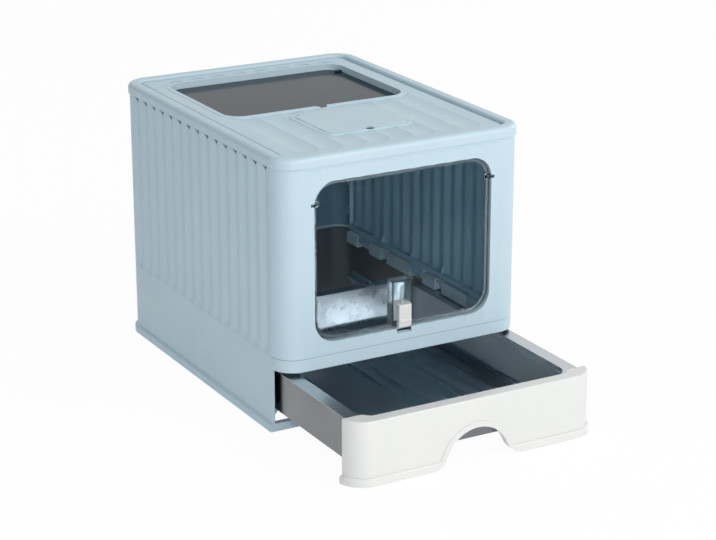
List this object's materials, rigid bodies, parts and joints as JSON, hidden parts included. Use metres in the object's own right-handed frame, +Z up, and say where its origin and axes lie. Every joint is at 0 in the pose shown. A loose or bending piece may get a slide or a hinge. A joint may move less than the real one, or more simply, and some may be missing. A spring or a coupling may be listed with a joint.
{
  "type": "enclosed drawer litter box",
  "caption": "Folding enclosed cat litter box with a pull-out steel drawer, clear swing door, ribbed side walls that fold in, and a lid with hinged roof flap.",
  "frame": {"origin": "on the floor, at the bottom centre of the whole object as it stands with the drawer open", "axes": "+X to the right seen from the front, +Y to the rear, +Z up; the drawer opens along -Y"},
  "size_m": [0.391, 0.7124, 0.395],
  "materials": {
    "blue_plastic": "fine satin moulding",
    "white_plastic": "smooth",
    "smoked_pane": "smoked, smooth",
    "clear_pane": "clear, smooth",
    "steel_sheet": "bright rolled sheet",
    "steel_pin": "drawn",
    "carbon_pad": "matt"
  },
  "bodies": {
    "base": {"base_housing": "blue_plastic", "hinge_rail_left": "blue_plastic", "hinge_rail_right": "blue_plastic", "hinge_pins_left": "steel_pin", "hinge_pins_right": "steel_pin", "drawer_runner_left": "blue_plastic", "drawer_runner_right": "blue_plastic", "front_panel": "blue_plastic", "rear_panel": "blue_plastic", "front_door_pins": "steel_pin"},
    "wall_left": {"side_wall_left": "blue_plastic"},
    "wall_right": {"side_wall_right": "blue_plastic"},
    "lid": {"lid": "blue_plastic", "deodoriser_cup": "blue_plastic", "deodoriser_pad": "carbon_pad", "roof_flap_pins": "steel_pin", "deodoriser_cover_pins": "steel_pin"},
    "roof_flap": {"roof_flap": "smoked_pane"},
    "cover": {"deodoriser_cover": "blue_plastic"},
    "front_door": {"front_door": "clear_pane", "latch_channel": "clear_pane"},
    "latch_bolt": {"latch_bolt": "white_plastic"},
    "drawer": {"drawer_front": "white_plastic", "drawer_frame": "steel_sheet", "drawer_pan": "steel_sheet", "drawer_screws": "steel_pin"}
  },
  "joints": [
    {"name": "left_wall_fold", "type": "hinge", "parent": "base", "child": "wall_left", "pos_m": [-0.182, 0.09625, 0.101], "axis": [0, 1, 0], "range_deg": [0, 81]},
    {"name": "right_wall_fold", "type": "hinge", "parent": "base", "child": "wall_right", "pos_m": [0.182, 0.09625, 0.101], "axis": [0, -1, 0], "range_deg": [0, 90]},
    {"name": "lid_lift", "type": "slide", "parent": "base", "child": "lid", "axis": [0, 0, 1], "range_m": [0, 0.12]},
    {"name": "roof_flap_hinge", "type": "hinge", "parent": "lid", "child": "roof_flap", "pos_m": [0, 0.27775, 0.3834], "axis": [-1, 0, 0], "range_deg": [0, 105]},
    {"name": "cover_hinge", "type": "hinge", "parent": "lid", "child": "cover", "pos_m": [0, 0.04305, 0.3915], "axis": [-1, 0, 0], "range_deg": [0, 100]},
    {"name": "front_door_swing", "type": "hinge", "parent": "base", "child": "front_door", "pos_m": [0, -0.15395, 0.326], "axis": [1, 0, 0], "range_deg": [-80, 80]},
    {"name": "latch_slide", "type": "slide", "parent": "front_door", "child": "latch_bolt", "axis": [0, 0, 1], "range_m": [-0.006, 0]},
    {"name": "drawer_slide", "type": "slide", "parent": "base", "child": "drawer", "axis": [0, -1, 0], "range_m": [-0.1925, 0.12]}
  ]
}
